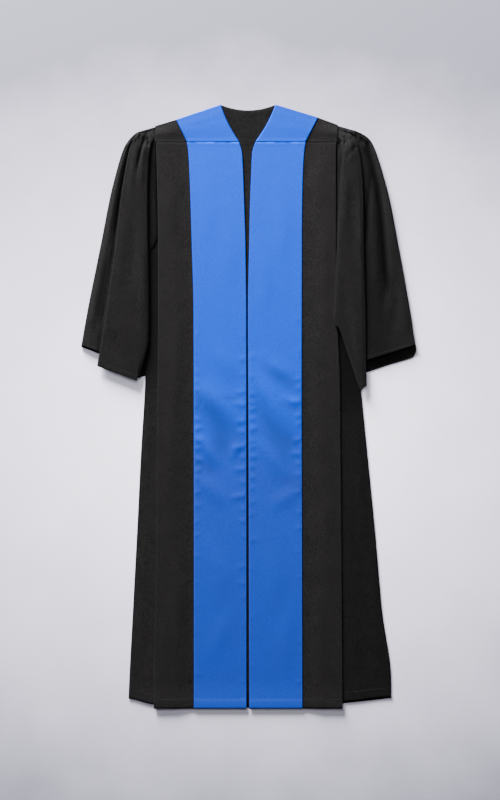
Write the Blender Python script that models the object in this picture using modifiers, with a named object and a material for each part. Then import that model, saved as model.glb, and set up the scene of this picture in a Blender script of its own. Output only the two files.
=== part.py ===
"""Ceremonial gown of black cloth with blue satin facings, laid out flat, face up.

The neck points to +Y and the hem to -Y. The underside lies on z = 0, and left means the side at -X.
Every piece is a thin wall: the middle surface of the cloth is mapped from a grid, then thickened.
"""
import math

import bmesh
import bpy
import numpy as np

CLOTH = 0.0012
SATIN = 0.0010
SEAM_GAP = 0.0004

BACK_Z = CLOTH / 2
LAYER_STEP = 0.0017
LOWER_Z = BACK_Z + CLOTH + SEAM_GAP
MIDDLE_Z = LOWER_Z + LAYER_STEP
UPPER_Z = MIDDLE_Z + LAYER_STEP
FACING_LIFT = CLOTH / 2 + SEAM_GAP + SATIN / 2
TURN_STEPS = 4
MERGE_DISTANCE = 0.00002

YOKE_SEAM_Y = 0.5690
ARMHOLE_FOOT_Y = 0.3600
UNDERARM_Y = 0.3290
HEM_Y = -0.6500
ROW_SPACING = 0.085

# Front panels: where each long line of the panel lies at that height up the gown. inner is the
# front opening, facing the satin's outer edge, fold the pleat's edge, tuck the pleat's depth under
# that edge, and side the armhole seam down to the underarm and the side seam below it.
FRONT_COLUMNS = ("y", "inner", "facing", "fold", "side", "tuck")
FRONT_LEFT = (
    (YOKE_SEAM_Y, -0.0222, -0.1345, -0.2010, -0.2030, 0.010),
    (0.5450, -0.0160, -0.1315, -0.2000, -0.2025, 0.010),
    (0.5000, -0.0135, -0.1290, -0.1985, -0.2010, 0.011),
    (0.4300, -0.0110, -0.1265, -0.1970, -0.1990, 0.012),
    (0.3600, -0.0088, -0.1245, -0.1960, -0.1970, 0.013),
    (0.3430, -0.0085, -0.1240, -0.1960, -0.2030, 0.014),
    (0.3290, -0.0083, -0.1235, -0.1960, -0.2160, 0.014),
    (0.2080, -0.0070, -0.1205, -0.1960, -0.2195, 0.017),
    (0.0460, -0.0067, -0.1200, -0.1970, -0.2250, 0.021),
    (-0.0940, -0.0066, -0.1198, -0.1985, -0.2335, 0.025),
    (-0.2660, -0.0065, -0.1196, -0.1995, -0.2420, 0.029),
    (-0.4380, -0.0065, -0.1195, -0.2020, -0.2510, 0.033),
    (-0.6100, -0.0065, -0.1195, -0.2050, -0.2590, 0.036),
    (HEM_Y, -0.0065, -0.1195, -0.2055, -0.2606, 0.037),
)
FRONT_RIGHT = (
    (YOKE_SEAM_Y, 0.0125, 0.1207, 0.1870, 0.1900, 0.010),
    (0.5450, 0.0058, 0.1175, 0.1860, 0.1898, 0.010),
    (0.5000, 0.0036, 0.1150, 0.1860, 0.1895, 0.011),
    (0.4300, 0.0010, 0.1135, 0.1860, 0.1880, 0.012),
    (0.3600, -0.0005, 0.1130, 0.1860, 0.1870, 0.013),
    (0.3430, -0.0008, 0.1130, 0.1860, 0.1920, 0.014),
    (0.3290, -0.0012, 0.1130, 0.1860, 0.2050, 0.014),
    (0.2080, -0.0032, 0.1128, 0.1880, 0.2160, 0.017),
    (0.0460, -0.0026, 0.1126, 0.1945, 0.2385, 0.021),
    (-0.0940, -0.0020, 0.1128, 0.1960, 0.2530, 0.025),
    (-0.2660, -0.0014, 0.1132, 0.1975, 0.2700, 0.029),
    (-0.4380, -0.0009, 0.1135, 0.1988, 0.2850, 0.033),
    (-0.6100, -0.0004, 0.1139, 0.2000, 0.3047, 0.036),
    (HEM_Y, -0.0004, 0.1139, 0.2002, 0.3050, 0.037),
)
# A front's upper layer climbs from RISE_START beyond the satin to RISE_END before the pleat's foot.
RISE_START = 0.003
RISE_END = 0.004
# How far the hem of the layer below the pleat lies above the panel's hem, at the pleat and at the side.
SIDE_HEM_RISE = {"left": (0.009, 0.021), "right": (0.0145, 0.024)}
HEM_RISE_LENGTH = 0.250
EASE_END = 0.001

# Upper edge of the back, as (x, y), from the left armhole over the neck to the right armhole.
SHOULDER_LINE = (
    (-0.2030, 0.6040),
    (-0.1800, 0.6110),
    (-0.1580, 0.6175),
    (-0.1100, 0.6335),
    (-0.0620, 0.6500),
    (-0.0340, 0.6415),
    (-0.0030, 0.6380),
    (0.0280, 0.6415),
    (0.0560, 0.6500),
    (0.1000, 0.6365),
    (0.1480, 0.6220),
    (0.1700, 0.6145),
    (0.1900, 0.6065),
)
BACK_HEM_Y = -0.6280
BACK_HEM_DIP = 0.0160
SHOULDER_FADE = 0.220

# Front yokes: the corners of the satin on the shoulder line, and the bend of the neck edge.
YOKE_CORNERS = {
    "left": {"neck": (-0.0620, 0.6500), "facing": (-0.1580, 0.6175), "armhole": (-0.2030, 0.6040)},
    "right": {"neck": (0.0560, 0.6500), "facing": (0.1480, 0.6220), "armhole": (0.1900, 0.6065)},
}
NECK_EDGE_BEND = 0.004
YOKE_ROWS = 5
YOKE_SLOPE_PART = 0.6

# Sleeves: plan position of each long line of the sleeve at eight stations, from the gathered head
# at the armhole seam (0) past the underarm (4) to the cuff (7). outer is the outline, fold the
# edge of the front lobe, tuck the hidden turn under that edge, tip and inner the lobe's hem
# corner and inner edge, and seam the armhole seam, then the underarm seam.
LEFT_SLEEVE = {
    "outer": ((-0.2040, 0.6025), (-0.2400, 0.5905), (-0.2660, 0.5635), (-0.2940, 0.4750),
              (-0.3210, 0.3420), (-0.3480, 0.2080), (-0.3555, 0.1650), (-0.3605, 0.1300)),
    "tuck": ((-0.2040, 0.5970), (-0.2190, 0.5800), (-0.2360, 0.5560), (-0.2520, 0.4750),
             (-0.2680, 0.3420), (-0.2880, 0.2080), (-0.2980, 0.1550), (-0.3080, 0.1120)),
    "fold": ((-0.2040, 0.5920), (-0.2290, 0.5830), (-0.2520, 0.5610), (-0.2720, 0.4740),
             (-0.2880, 0.3420), (-0.3065, 0.2080), (-0.3165, 0.1450), (-0.3270, 0.0860)),
    "tip": ((-0.2040, 0.5860), (-0.2180, 0.5740), (-0.2290, 0.5500), (-0.2350, 0.4700),
            (-0.2370, 0.3400), (-0.2380, 0.2080), (-0.2400, 0.1300), (-0.2420, 0.0560)),
    "inner": ((-0.2040, 0.5800), (-0.2100, 0.5660), (-0.2140, 0.5400), (-0.2175, 0.4620),
              (-0.2170, 0.3400), (-0.2155, 0.2080), (-0.2165, 0.1430), (-0.2350, 0.0620)),
    "seam": ((-0.2040, 0.5760), (-0.2040, 0.5560), (-0.2035, 0.5200), (-0.2005, 0.4400),
             (-0.2180, 0.3300), (-0.2220, 0.2080), (-0.2232, 0.1450), (-0.2256, 0.0665)),
}
RIGHT_SLEEVE = {
    "outer": ((0.1910, 0.6050), (0.2280, 0.5930), (0.2580, 0.5750), (0.2940, 0.4750),
              (0.3210, 0.3420), (0.3450, 0.2080), (0.3525, 0.1650), (0.3600, 0.1320)),
    "tuck": ((0.1910, 0.5995), (0.2060, 0.5830), (0.2170, 0.5600), (0.2260, 0.4720),
             (0.2270, 0.3420), (0.2300, 0.2080), (0.2320, 0.1500), (0.2340, 0.0930)),
    "fold": ((0.1910, 0.5945), (0.2160, 0.5850), (0.2310, 0.5650), (0.2440, 0.4740),
             (0.2465, 0.3420), (0.2495, 0.2000), (0.2505, 0.1200), (0.2510, 0.0435)),
    "tip": ((0.1910, 0.5890), (0.2080, 0.5770), (0.2180, 0.5550), (0.2290, 0.4720),
            (0.2330, 0.3420), (0.2360, 0.2000), (0.2370, 0.1200), (0.2380, 0.0340)),
    "inner": ((0.1910, 0.5840), (0.1970, 0.5700), (0.2000, 0.5400), (0.1945, 0.4700),
              (0.1888, 0.3600), (0.1832, 0.2400), (0.1805, 0.1950), (0.1840, 0.1720)),
    "seam": ((0.1910, 0.5800), (0.1912, 0.5600), (0.1908, 0.5250), (0.1892, 0.4400),
             (0.2055, 0.3290), (0.2180, 0.2080), (0.2240, 0.1550), (0.2300, 0.1150)),
}
# Hem of each sleeve's under layer at the cuff: at the outline, then below the lobe's edge.
CUFF_BEHIND = {
    "left": ((-0.3590, 0.1270), (-0.3235, 0.1140)),
    "right": ((0.3525, 0.1060), (0.2510, 0.0740)),
}
UNDERARM_STATION = 4
CUFF_STATION = 7
HEAD_STATION = 1
UNDER_LAYER_POINTS = 8
SLEEVE_STATIONS = (0, HEAD_STATION, 1.5, 2, 2.5, 3, 3.4, 3.7, 4, 4.35, 4.7, 5, 5.5, 6, 6.5, 7)

# Heights of the sleeve's layers above the floor, once the gathers have opened.
LOBE_EDGE_Z = 0.0105
LOBE_CROWN_Z = 0.0150
FOLD_TOP_Z = 0.0125
FOLD_UNDER_Z = 0.0100
TUCK_Z = 0.0078
OUTER_TOP_Z = 0.0086
OUTER_CROWN = 0.0030
LOBE_SWELL = 0.0008
LOBE_OVERHANG = 0.0060
LOBE_RISE_WIDTH = 0.0045
NOOK_Z = {"left": 0.0040, "right": 0.0078}
UNDERARM_SEAM_Z = {"left": BACK_Z, "right": 0.0042}
BODY_CLEARANCE = 0.0030
RAISED_WIDTH = 0.0140
HEAD_LIFT = 0.72
UNDERARM_GAP = 0.0009

# Stations over which the lobe leaves the armhole, and over which the seam closes to the underarm.
JOIN_START = UNDERARM_STATION - 0.7
JOIN_END = UNDERARM_STATION + 0.3
SEAM_FLAT_STATION = 1.2
RISE_STEPS = 5
TUCK_STEPS = 3
OUTLINE_STEPS = 5


def material(name, colour, roughness, metallic=0.0):
    """A plain Principled material."""
    finish = bpy.data.materials.new(name)
    finish.use_nodes = True
    shader = finish.node_tree.nodes["Principled BSDF"]
    shader.inputs["Base Color"].default_value = (*colour, 1.0)
    shader.inputs["Roughness"].default_value = roughness
    shader.inputs["Metallic"].default_value = metallic
    return finish


def along(stops, values, at):
    """Smooth curve through the values at rising stops, which never overshoots them."""
    stops = np.asarray(stops, float)
    values = np.asarray(values, float)
    widths = np.diff(stops)
    slopes = np.diff(values) / widths
    tangents = np.zeros(len(stops))
    tangents[0] = slopes[0]
    tangents[-1] = slopes[-1]
    for k in range(1, len(stops) - 1):
        if slopes[k - 1] * slopes[k] > 0:
            tangents[k] = 2 * slopes[k - 1] * slopes[k] / (slopes[k - 1] + slopes[k])
    k = int(np.clip(np.searchsorted(stops, at) - 1, 0, len(widths) - 1))
    t = (at - stops[k]) / widths[k]
    start = (1 + 2 * t) * (1 - t) ** 2 * values[k] + t * (1 - t) ** 2 * widths[k] * tangents[k]
    end = t * t * (3 - 2 * t) * values[k + 1] + t * t * (t - 1) * widths[k] * tangents[k + 1]
    return start + end


def ease(low, high, value):
    """0 below low, 1 above high, smooth between."""
    t = min(max((value - low) / (high - low), 0.0), 1.0)
    return t * t * (3 - 2 * t)


def mix(a, b, t):
    """The value or point that lies at t on the way from a to b."""
    return np.asarray(a, float) * (1 - t) + np.asarray(b, float) * t


def front_line(table, column, y):
    """x of one long line of a front panel at height y, or the pleat's depth there."""
    index = FRONT_COLUMNS.index(column)
    rows = table[::-1]
    return float(along([row[0] for row in rows], [row[index] for row in rows], y))


def front_rows(table):
    """Heights of a panel's cross rows: the table's own, with long stretches divided."""
    rows = [table[0][0]]
    for upper, lower in zip(table, table[1:]):
        pieces = math.ceil((upper[0] - lower[0]) / ROW_SPACING)
        for piece in range(1, pieces + 1):
            rows.append(upper[0] + (lower[0] - upper[0]) * piece / pieces)
    return rows


def wall(name, points, thickness, finish, collection, even=True):
    """A wall of cloth around a surface given as rows of points."""
    rows = len(points)
    columns = len(points[0])
    shape = bmesh.new()
    bmesh.ops.create_grid(shape, x_segments=columns - 1, y_segments=rows - 1, size=0.5)
    for vert in shape.verts:
        column = round((vert.co.x + 0.5) * (columns - 1))
        row = round((0.5 - vert.co.y) * (rows - 1))
        vert.co = points[row][column]
    bmesh.ops.remove_doubles(shape, verts=shape.verts, dist=MERGE_DISTANCE)
    mesh = bpy.data.meshes.new(name)
    shape.to_mesh(mesh)
    shape.free()
    mesh.shade_smooth()
    mesh.materials.append(finish)
    piece = bpy.data.objects.new(name, mesh)
    collection.objects.link(piece)
    thicken = piece.modifiers.new("cloth", "SOLIDIFY")
    thicken.thickness = thickness
    thicken.offset = 0.0
    thicken.use_even_offset = even
    return piece


def upper_height(table, x, y):
    """Height of a front's upper layer: low under the satin, raised over the pleat."""
    reach = abs(x)
    low = abs(front_line(table, "facing", y)) + RISE_START
    high = abs(front_line(table, "fold", y)) - front_line(table, "tuck", y) - RISE_END
    return LOWER_Z + (UPPER_Z - LOWER_Z) * ease(low, high, reach)


def turn(at, toward, z_from, z_to, depth, steps):
    """Half an ellipse that bulges to the plan point at, from one height to another."""
    middle = (z_from + z_to) / 2
    half = (z_from - z_to) / 2
    points = []
    for step in range(steps + 1):
        angle = math.pi * step / steps
        plan = np.asarray(at) - np.asarray(toward) * depth * (1 - math.sin(angle))
        points.append((plan[0], plan[1], middle + half * math.cos(angle)))
    return points


def hem_rise(y):
    """1 at the hem, fading to 0 where the hem's shape no longer moves the cross rows."""
    return 1 - ease(HEM_Y, HEM_Y + HEM_RISE_LENGTH, y)


def front_section(table, side, y):
    """One cross row of a front: upper layer, pleat edge, layer below, turn, side stretch."""
    inner, facing, fold, edge, tuck = (front_line(table, c, y) for c in FRONT_COLUMNS[1:])
    out = math.copysign(1.0, fold)
    bend = LAYER_STEP / 2
    flat = [inner, mix(inner, facing, 0.5), facing]
    flat += [mix(facing, fold - out * tuck, t) for t in (0.3, 0.65, 1.0)]
    flat += [mix(fold - out * tuck, fold - out * bend, 0.5)]
    row = [(float(x), y, upper_height(table, x, y)) for x in flat]
    below = turn((fold, y), (out, 0), UPPER_Z, MIDDLE_Z, bend, TURN_STEPS)
    below += turn((fold - out * tuck, y), (-out, 0), MIDDLE_Z, LOWER_Z, bend, TURN_STEPS)
    start = fold - out * (tuck - bend)
    below += [(float(mix(start, edge, t)), y, LOWER_Z) for t in (0.3, 0.65, 1.0)]
    rise = hem_rise(y)
    near, far = SIDE_HEM_RISE[side]
    for x, row_y, z in below:
        depth = (UPPER_Z - z) / (UPPER_Z - LOWER_Z)
        outward = ease(abs(fold), abs(edge) + EASE_END, abs(x))
        row.append((x, row_y + rise * depth * mix(near, far, outward), z))
    return row


def make_front(side, table, finish, collection):
    rows = [front_section(table, side, y) for y in front_rows(table)]
    return wall("front_" + side, rows, CLOTH, finish, collection)


def make_facing(side, table, finish, collection):
    rows = []
    for y in front_rows(table):
        inner = front_line(table, "inner", y)
        outer = front_line(table, "facing", y)
        rows.append([(float(mix(inner, outer, t)), y, LOWER_Z + FACING_LIFT) for t in (0, 0.5, 1)])
    return wall("facing_" + side, rows, SATIN, finish, collection)


def make_back(finish, collection):
    left_edge = SHOULDER_LINE[0][0]
    right_edge = SHOULDER_LINE[-1][0]
    top = SHOULDER_LINE[0][1]
    heights = [top] + front_rows(FRONT_LEFT)[:-1] + [BACK_HEM_Y]
    rows = []
    for height in heights:
        level = min(height, YOKE_SEAM_Y)
        left = front_line(FRONT_LEFT, "side", level)
        right = front_line(FRONT_RIGHT, "side", level)
        fade = 1 - ease(0, SHOULDER_FADE, top - height)
        dip = BACK_HEM_DIP * hem_rise(height)
        row = []
        for x, y in SHOULDER_LINE:
            across = (x - left_edge) / (right_edge - left_edge)
            middle = math.sin(math.pi * across)
            row.append((left + (right - left) * across, height + (y - top) * fade - dip * middle, BACK_Z))
        rows.append(row)
    return wall("back", rows, CLOTH, finish, collection)


def yoke_point(side, table, across, down):
    """A point of a front yoke: across 0 to 1 is the satin's width, 1 to 2 the cloth beyond it."""
    corners = YOKE_CORNERS[side]
    seam_y = YOKE_SEAM_Y + SEAM_GAP
    seam = (front_line(table, "inner", YOKE_SEAM_Y), front_line(table, "facing", YOKE_SEAM_Y),
            front_line(table, "side", YOKE_SEAM_Y))
    top = (corners["neck"], corners["facing"], corners["armhole"])
    first = int(min(across, 1.999))
    part = across - first
    upper = mix(top[first], top[first + 1], part)
    lower = mix((seam[first], seam_y), (seam[first + 1], seam_y), part)
    point = mix(upper, lower, down)
    bend = NECK_EDGE_BEND * math.sin(math.pi * down) * max(0.0, 1 - across)
    x = point[0] + math.copysign(bend, point[0])
    z = mix(LOWER_Z, upper_height(table, x, YOKE_SEAM_Y), ease(0, YOKE_SLOPE_PART, down))
    return (float(x), float(point[1]), float(z))


def make_yoke(side, table, finish, collection):
    across = (0, 0.5, 1, 1.25, 1.5, 1.75, 2)
    downs = [row / (YOKE_ROWS - 1) for row in range(YOKE_ROWS)]
    rows = [[yoke_point(side, table, a, down) for a in across] for down in downs]
    return wall("yoke_" + side, rows, CLOTH, finish, collection)


def make_facing_yoke(side, table, finish, collection):
    rows = []
    for down in range(YOKE_ROWS):
        row = [yoke_point(side, table, a, down / (YOKE_ROWS - 1)) for a in (0, 0.5, 1)]
        rows.append([(x, y, z + FACING_LIFT) for x, y, z in row])
    return wall("facing_yoke_" + side, rows, SATIN, finish, collection)


def sleeve_floor(side, table, x, y):
    """Height of the sleeve's under layer: on the floor, or on the body where it lies under."""
    if side == "left":
        return BACK_Z
    edge = front_line(table, "side", y)
    raised = (UNDERARM_SEAM_Z[side] - BACK_Z) * (1 - ease(UNDERARM_Y, ARMHOLE_FOOT_Y, y))
    return BACK_Z + raised * (1 - ease(edge + BODY_CLEARANCE, edge + RAISED_WIDTH, x))


def sleeve_lines(lines, station):
    """Plan position of each long line of the sleeve at a station."""
    stops = range(CUFF_STATION + 1)
    places = {}
    for name, points in lines.items():
        x = along(stops, [p[0] for p in points], station)
        y = along(stops, [p[1] for p in points], station)
        places[name] = np.array((x, y))
    return places


def inner_rise(at, out, z_from, z_to, joined, steps):
    """The lobe's inner edge: a plain rise along the armhole, an overhanging bulge below it."""
    bulge = turn(at, -out, z_from, z_to, LOBE_OVERHANG, steps)
    points = []
    for step, below in enumerate(bulge):
        angle = math.pi / 2 * step / steps
        plan = at + out * LOBE_RISE_WIDTH * (1 - math.cos(angle))
        plain = (plan[0], plan[1], z_from + (z_to - z_from) * math.sin(angle))
        points.append(tuple(mix(plain, below, joined)))
    return points


def folded_section(side, table, lines, station):
    """One ring of the sleeve, from the front seam over the lobe and the outline to the back seam."""
    at = sleeve_lines(lines, station)
    straight = ease(1, 2, station)
    across = at["outer"] - at["inner"]
    out = mix(across / np.linalg.norm(across), (math.copysign(1.0, across[0]), 0), straight)
    out = out / np.linalg.norm(out)
    lift = HEAD_LIFT + (1 - HEAD_LIFT) * ease(HEAD_STATION, 2, station)
    joined = ease(JOIN_START, JOIN_END, station)
    nook = NOOK_Z["left"] + (NOOK_Z[side] - NOOK_Z["left"]) * joined
    lobe_z = LOBE_EDGE_Z + nook - NOOK_Z["left"]
    ring = inner_rise(at["inner"], out, nook, lobe_z, joined, RISE_STEPS)
    start = np.array(ring[-1])
    tip = np.array((*at["tip"], LOBE_CROWN_Z))
    fold_depth = (FOLD_TOP_Z - FOLD_UNDER_Z) / 2
    fold_turn = turn(at["fold"], out, FOLD_TOP_Z, FOLD_UNDER_Z, fold_depth, TURN_STEPS)
    ring += [mix(start, tip, 0.5), tip]
    ring += [mix(tip, fold_turn[0], t) + np.array((0, 0, LOBE_SWELL)) for t in (0.35, 0.7)]
    ring += fold_turn
    tuck_depth = (FOLD_UNDER_Z - TUCK_Z) / 2
    ring += turn(at["tuck"], -out, FOLD_UNDER_Z, TUCK_Z, tuck_depth, TUCK_STEPS)
    outline_depth = (OUTER_TOP_Z - BACK_Z) / 2
    outer_turn = turn(at["outer"], out, OUTER_TOP_Z, BACK_Z, outline_depth, OUTLINE_STEPS)
    away = at["outer"] - at["tuck"]
    away = away / np.linalg.norm(away)
    below_edge = at["tuck"] + away * (np.dot(at["fold"] - at["tuck"], away) + CLOTH)
    below_edge = np.array((*below_edge, TUCK_Z))
    ring.append(below_edge)
    for t in (0.33, 0.67):
        swell = OUTER_CROWN * math.sin(math.pi * t)
        ring.append(mix(below_edge, outer_turn[0], t) + np.array((0, 0, swell)))
    behind = ease(UNDERARM_STATION + 1, CUFF_STATION, station)
    outline = np.array(outer_turn[-1][:2])
    hem_shift = (np.array(CUFF_BEHIND[side][0]) - outline) * behind
    for step, point in enumerate(outer_turn):
        plan = np.array(point[:2]) + hem_shift * step / (len(outer_turn) - 1)
        ring.append((plan[0], plan[1], point[2]))
    outline = outline + hem_shift
    below_fold = mix(at["fold"], CUFF_BEHIND[side][1], behind)
    for t in (0.5, 1):
        plan = mix(outline, below_fold, t)
        ring.append((plan[0], plan[1], sleeve_floor(side, table, plan[0], plan[1])))
    for t in (0.3, 0.6, 0.85):
        plan = mix(below_fold, at["seam"], t)
        ring.append((plan[0], plan[1], sleeve_floor(side, table, plan[0], plan[1])))
    return [(float(x), float(y), BACK_Z + float(z - BACK_Z) * lift) for x, y, z in ring]


def gathered_section(lines, front_count, back_count):
    """The ring where the sleeve is sewn in: up the front to the shoulder, then down the back."""
    x, shoulder_y = lines["outer"][0]
    underside_y = lines["seam"][0][1]
    ups = [(step + 1) / (front_count + 1) for step in range(front_count)]
    downs = [1 - (step + 0.5) / (back_count + 0.5) for step in range(back_count)]
    front = [(x, float(mix(underside_y, shoulder_y, up)), mix(UPPER_Z, LOWER_Z, up)) for up in ups]
    back = [(x, float(mix(underside_y, shoulder_y, up)), mix(BACK_Z, LOWER_Z, up ** 4)) for up in downs]
    return [(x, y, float(z)) for x, y, z in front + back]


def body_edge(table, y):
    """x of the body's armhole edge at height y, on the same straight stretches as the panel's."""
    rows = front_rows(table)
    edges = [front_line(table, "side", row) for row in rows]
    return float(np.interp(y, rows[::-1], edges[::-1]))


def sleeve_section(side, table, lines, station):
    """A ring with both its seam ends, gathered at the head and folded below."""
    at = sleeve_lines(lines, station)["seam"]
    ring = folded_section(side, table, lines, station)
    if station < HEAD_STATION:
        ring = gathered_section(lines, len(ring) - UNDER_LAYER_POINTS, UNDER_LAYER_POINTS)
    joined = ease(JOIN_START, UNDERARM_STATION, station)
    seam_x, seam_y = at
    if 0 < station < UNDERARM_STATION:
        body = body_edge(table, min(float(seam_y), YOKE_SEAM_Y))
        seam_x = body + math.copysign(mix(SEAM_GAP, UNDERARM_GAP, joined), body)
        seam_y = seam_y + UNDERARM_GAP * joined
    front_z = mix(mix(UPPER_Z, LOWER_Z, ease(0, SEAM_FLAT_STATION, station)), UNDERARM_SEAM_Z[side], joined)
    back_z = mix(BACK_Z, UNDERARM_SEAM_Z[side], joined)
    first = (float(seam_x), float(seam_y), float(front_z))
    last = (float(seam_x), float(seam_y), float(back_z))
    return [first] + ring + [last]


def make_sleeve(side, table, lines, finish, collection):
    rows = [sleeve_section(side, table, lines, station) for station in SLEEVE_STATIONS]
    return wall("sleeve_" + side, rows, CLOTH, finish, collection, even=False)


for leftover in list(bpy.data.objects):
    bpy.data.objects.remove(leftover)

gown = bpy.data.collections.new("ceremonial_gown")
bpy.context.scene.collection.children.link(gown)
black_cloth = material("black_cloth", (0.020, 0.019, 0.020), 0.85)
blue_satin = material("blue_satin", (0.052, 0.196, 0.640), 0.38)

make_back(black_cloth, gown)
for side, table, lines in (("left", FRONT_LEFT, LEFT_SLEEVE), ("right", FRONT_RIGHT, RIGHT_SLEEVE)):
    make_front(side, table, black_cloth, gown)
    make_yoke(side, table, black_cloth, gown)
    make_facing(side, table, blue_satin, gown)
    make_facing_yoke(side, table, blue_satin, gown)
    make_sleeve(side, table, lines, black_cloth, gown)
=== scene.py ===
import math

import bmesh
import bpy
import numpy as np
from mathutils import Matrix, Vector


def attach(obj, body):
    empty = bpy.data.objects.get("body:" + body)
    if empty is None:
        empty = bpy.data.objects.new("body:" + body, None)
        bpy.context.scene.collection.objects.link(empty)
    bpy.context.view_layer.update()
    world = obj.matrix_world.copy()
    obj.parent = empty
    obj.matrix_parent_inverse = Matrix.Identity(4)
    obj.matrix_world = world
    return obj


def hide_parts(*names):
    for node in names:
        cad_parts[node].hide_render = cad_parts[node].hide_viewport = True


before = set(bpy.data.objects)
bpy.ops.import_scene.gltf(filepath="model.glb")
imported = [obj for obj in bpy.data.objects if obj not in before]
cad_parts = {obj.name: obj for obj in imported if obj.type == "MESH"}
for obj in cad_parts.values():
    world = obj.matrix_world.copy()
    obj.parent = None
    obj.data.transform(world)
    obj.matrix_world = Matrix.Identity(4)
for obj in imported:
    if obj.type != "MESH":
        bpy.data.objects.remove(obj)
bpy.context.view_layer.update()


# Back: one piece of black gown cloth, face down on the surface, from the neck and shoulders to the
# hem. Its sides are sewn to the fronts, and its hem is turned up and stitched.

CLOTH = 0.0012
BACK_Z = CLOTH / 2
HEM_RISE_LENGTH = 0.250
BACK_HEM_Y = -0.6280
BACK_HEM_DIP = 0.0212
BACK_HEM_FOLD = 0.025
BACK_HEM_SHADE = 0.7
NECK_SHADE = 0.25
SHOULDER_FADE = 0.220
BACK_COLUMNS = 72
BACK_ROWS = 260
HEM_STITCH_ROW = -6

# Length of a stitch, from one stitch to the next, and the thread's width.
HEM_STITCH = (0.0026, 0.0042, 0.0004)

BLACK_DARKEST = (0.0030, 0.0028, 0.0030)
BLACK_LIGHTEST = (0.0098, 0.0093, 0.0097)
# Colour that the shade mark darkens the black cloth towards: painted shade, and dark seam lines.
BLACK_SHADED = (0.0004, 0.0004, 0.0005)
BLACK_THREAD = (0.0100, 0.0096, 0.0100)
THREAD_SPACING = 0.0011


def metres(millimetres):
    """A table of lengths in millimetres from the frame's middle, in metres."""
    if isinstance(millimetres, dict):
        return {key: metres(part) for key, part in millimetres.items()}
    if isinstance(millimetres, tuple):
        return tuple(metres(part) for part in millimetres)
    return millimetres / 1000


# Heights where the gown's long lines are given, from the yoke seam to the hem, and x of the two
# side edges at each of them.
HEIGHTS = metres((569, 545, 500, 430, 360, 343, 329, 208, 46, -94, -266, -438, -610, -650))
SIDE_EDGES = metres({
    "left": (-203, -202.5, -201, -199, -197, -203, -216, -219.5, -225, -233.5, -242, -251, -259, -260.6),
    "right": (190, 189.8, 189.5, 188, 187, 192, 205, 216, 238.5, 253, 270, 285, 304.7, 305),
})
YOKE_SEAM_Y = HEIGHTS[0]
HEM_Y = HEIGHTS[-1]
SHOULDER_LINE = metres(((-203, 604), (-158, 617.5), (-62, 650), (56, 650), (148, 622), (190, 606.5)))
NECK_LEFT, NECK_RIGHT = SHOULDER_LINE[2:4]
NECK_MIDDLE = (-0.0030, 0.6380)


def curve(stops, values, at):
    """Smooth line through the values at rising stops, which never overshoots them."""
    stops = np.asarray(stops, float)
    values = np.asarray(values, float)
    at = np.asarray(at, float)
    widths = np.diff(stops)
    slopes = np.diff(values) / widths
    before = slopes[:-1]
    after = slopes[1:]
    same_way = before * after > 0
    tangents = np.concatenate((slopes[:1], np.zeros(len(slopes) - 1), slopes[-1:]))
    tangents[1:-1][same_way] = (2 * before * after)[same_way] / (before + after)[same_way]
    k = np.clip(np.searchsorted(stops, at) - 1, 0, len(widths) - 1)
    t = (at - stops[k]) / widths[k]
    start = (1 + 2 * t) * (1 - t) ** 2 * values[k] + t * (1 - t) ** 2 * widths[k] * tangents[k]
    end = t * t * (3 - 2 * t) * values[k + 1] + t * t * (t - 1) * widths[k] * tangents[k + 1]
    return start + end


def ease(low, high, value):
    """0 below low, 1 above high, smooth between."""
    t = np.clip((np.asarray(value, float) - low) / (high - low), 0.0, 1.0)
    return t * t * (3 - 2 * t)


def mix(a, b, t):
    """The value or point that lies at t on the way from a to b."""
    return a * (1 - t) + b * t


def around(distance, width):
    """1 on a line, fading smoothly to nothing about two widths away from it."""
    return np.exp(-(distance / width) ** 2)


def down_gown(values, y):
    """Smooth line at height y through the values that are given for the gown's heights."""
    return curve(HEIGHTS[::-1], values[::-1], y)


def side_edge(side, y):
    """x of the gown's side edge at height y, above the underarm along the armhole."""
    return down_gown(SIDE_EDGES[side], y)


def hem_rise(y):
    """1 at the hem, fading to 0 above the part that the hem's shape bends."""
    return 1 - ease(HEM_Y, HEM_Y + HEM_RISE_LENGTH, y)


def running_length(points, axis):
    """Distance run along the cloth in metres, for a weave that follows it."""
    steps = np.linalg.norm(np.diff(points, axis=axis), axis=2)
    start = np.zeros_like(np.take(steps, [0], axis=axis))
    return np.concatenate((start, np.cumsum(steps, axis=axis)), axis=axis)


def cloth_piece(name, points, thickness, finish, marks=None, even=True):
    """A wall of cloth around rows of points, with its weave's run as UV and its marks as attributes."""
    rows, columns = points.shape[:2]
    shape = bmesh.new()
    bmesh.ops.create_grid(shape, x_segments=columns - 1, y_segments=rows - 1, size=0.5)
    mesh = bpy.data.meshes.new(name)
    shape.to_mesh(mesh)
    shape.free()
    places = np.empty(len(mesh.vertices) * 3)
    mesh.vertices.foreach_get("co", places)
    places = places.reshape(-1, 3)
    column = np.rint((places[:, 0] + 0.5) * (columns - 1)).astype(int)
    row = np.rint((0.5 - places[:, 1]) * (rows - 1)).astype(int)
    mesh.vertices.foreach_set("co", points[row, column].ravel())
    across = running_length(points, 1)[row, column]
    down = running_length(points, 0)[row, column]
    corners = np.empty(len(mesh.loops), dtype=np.int32)
    mesh.loops.foreach_get("vertex_index", corners)
    layer = mesh.uv_layers.new(name="weave")
    layer.data.foreach_set("uv", np.stack((across[corners], down[corners]), axis=1).ravel())
    for mark, amounts in (marks or {}).items():
        attribute = mesh.attributes.new(mark, "FLOAT", "POINT")
        attribute.data.foreach_set("value", np.broadcast_to(amounts, (rows, columns))[row, column])
    mesh.shade_smooth()
    mesh.update()
    mesh.materials.append(finish)
    piece = bpy.data.objects.new(name, mesh)
    bpy.context.scene.collection.objects.link(piece)
    thicken = piece.modifiers.new("cloth", "SOLIDIFY")
    thicken.thickness = thickness
    thicken.offset = 0.0
    thicken.use_even_offset = even
    return piece


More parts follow.
